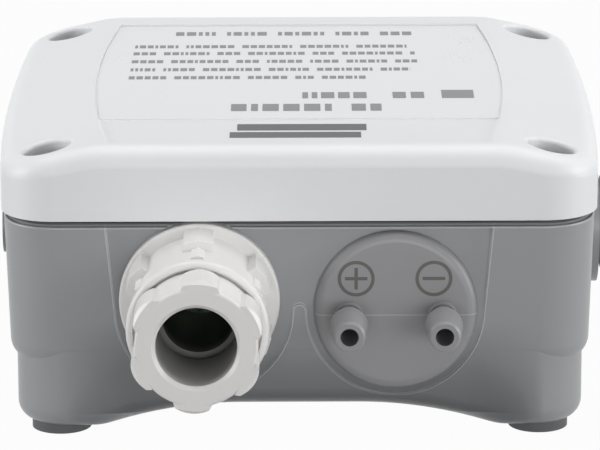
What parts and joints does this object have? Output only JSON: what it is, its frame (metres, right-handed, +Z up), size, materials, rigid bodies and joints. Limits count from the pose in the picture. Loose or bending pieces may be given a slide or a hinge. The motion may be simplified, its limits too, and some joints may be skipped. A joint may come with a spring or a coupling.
{
  "type": "differential pressure transmitter",
  "caption": "Wall enclosure with a screwed lid, a cable gland and a port plate with two hose barbs, holding a pressure sensor board with a terminal block and a zero button.",
  "frame": {"origin": "centre of the four wall fixing screws, on the plane that the feet stand on", "axes": "+X to the right along the front wall, +Y from the front wall to the back, +Z up through the lid"},
  "size_m": [0.0899, 0.1013, 0.0419],
  "materials": {
    "lid_white": "satin moulded ABS",
    "housing_grey": "fine satin moulded ABS",
    "port_grey": "satin moulded plastic",
    "gland_nylon": "satin off-white nylon",
    "label_film": "clear satin film",
    "seal_rubber": "dull black rubber",
    "foot_rubber": "dull dark rubber",
    "screw_steel": "zinc plated steel",
    "board_green": "solder mask",
    "terminal_green": "moulded polyamide",
    "terminal_metal": "plated clamp",
    "sensor_black": "moulded black plastic",
    "tube_silicone": "milky silicone",
    "button_black": "moulded black plastic",
    "header_black": "moulded black plastic",
    "capacitor_can": "sleeved can",
    "chip_black": "epoxy package",
    "lamp_lens": "diffused lens"
  },
  "bodies": {
    "housing": {"base_housing": "housing_grey", "foot_pad_front_left": "foot_rubber", "foot_pad_front_right": "foot_rubber", "foot_pad_back_left": "foot_rubber", "foot_pad_back_right": "foot_rubber", "lid": "lid_white", "label_film": "label_film", "lid_gasket": "seal_rubber", "lid_screws": "screw_steel", "gland_body": "gland_nylon", "gland_washer": "seal_rubber", "gland_locknut": "gland_nylon", "port_plate": "port_grey", "port_plate_nut": "port_grey", "side_plug": "housing_grey", "side_plug_seal": "seal_rubber", "side_plug_nut": "port_grey", "circuit_board": "board_green", "board_screws": "screw_steel", "terminal_block": "terminal_green", "terminal_screws": "screw_steel", "terminal_clamps": "terminal_metal", "pressure_sensor": "sensor_black", "plus_tube": "tube_silicone", "minus_tube": "tube_silicone", "zero_button_body": "button_black", "range_header": "header_black", "range_jumper": "header_black", "filter_capacitor": "capacitor_can", "supply_capacitor": "capacitor_can", "controller_chip": "chip_black", "voltage_regulator": "chip_black", "status_lamp": "lamp_lens"},
    "gland_seal": {"gland_seal": "gland_nylon"},
    "gland_nut": {"gland_nut": "gland_nylon"},
    "zero_button": {"zero_button_plunger": "button_black"}
  },
  "joints": [
    {"name": "gland_seal_slide", "type": "slide", "parent": "housing", "child": "gland_seal", "axis": [0, -1, 0], "range_m": [0, 0.0015]},
    {"name": "gland_nut_turn", "type": "hinge", "parent": "gland_seal", "child": "gland_nut", "pos_m": [-0.0138, -0.0556, 0.0201], "axis": [0, -1, 0], "range_deg": [0, 360]},
    {"name": "zero_button_press", "type": "slide", "parent": "housing", "child": "zero_button", "axis": [0, 0, -1], "range_m": [0, 0.0004], "stiffness_N_per_m": 500}
  ],
  "couplings": [
    {"joint": "gland_seal_slide", "follows": "gland_nut_turn", "m_per_rad": 0.0002387}
  ]
}
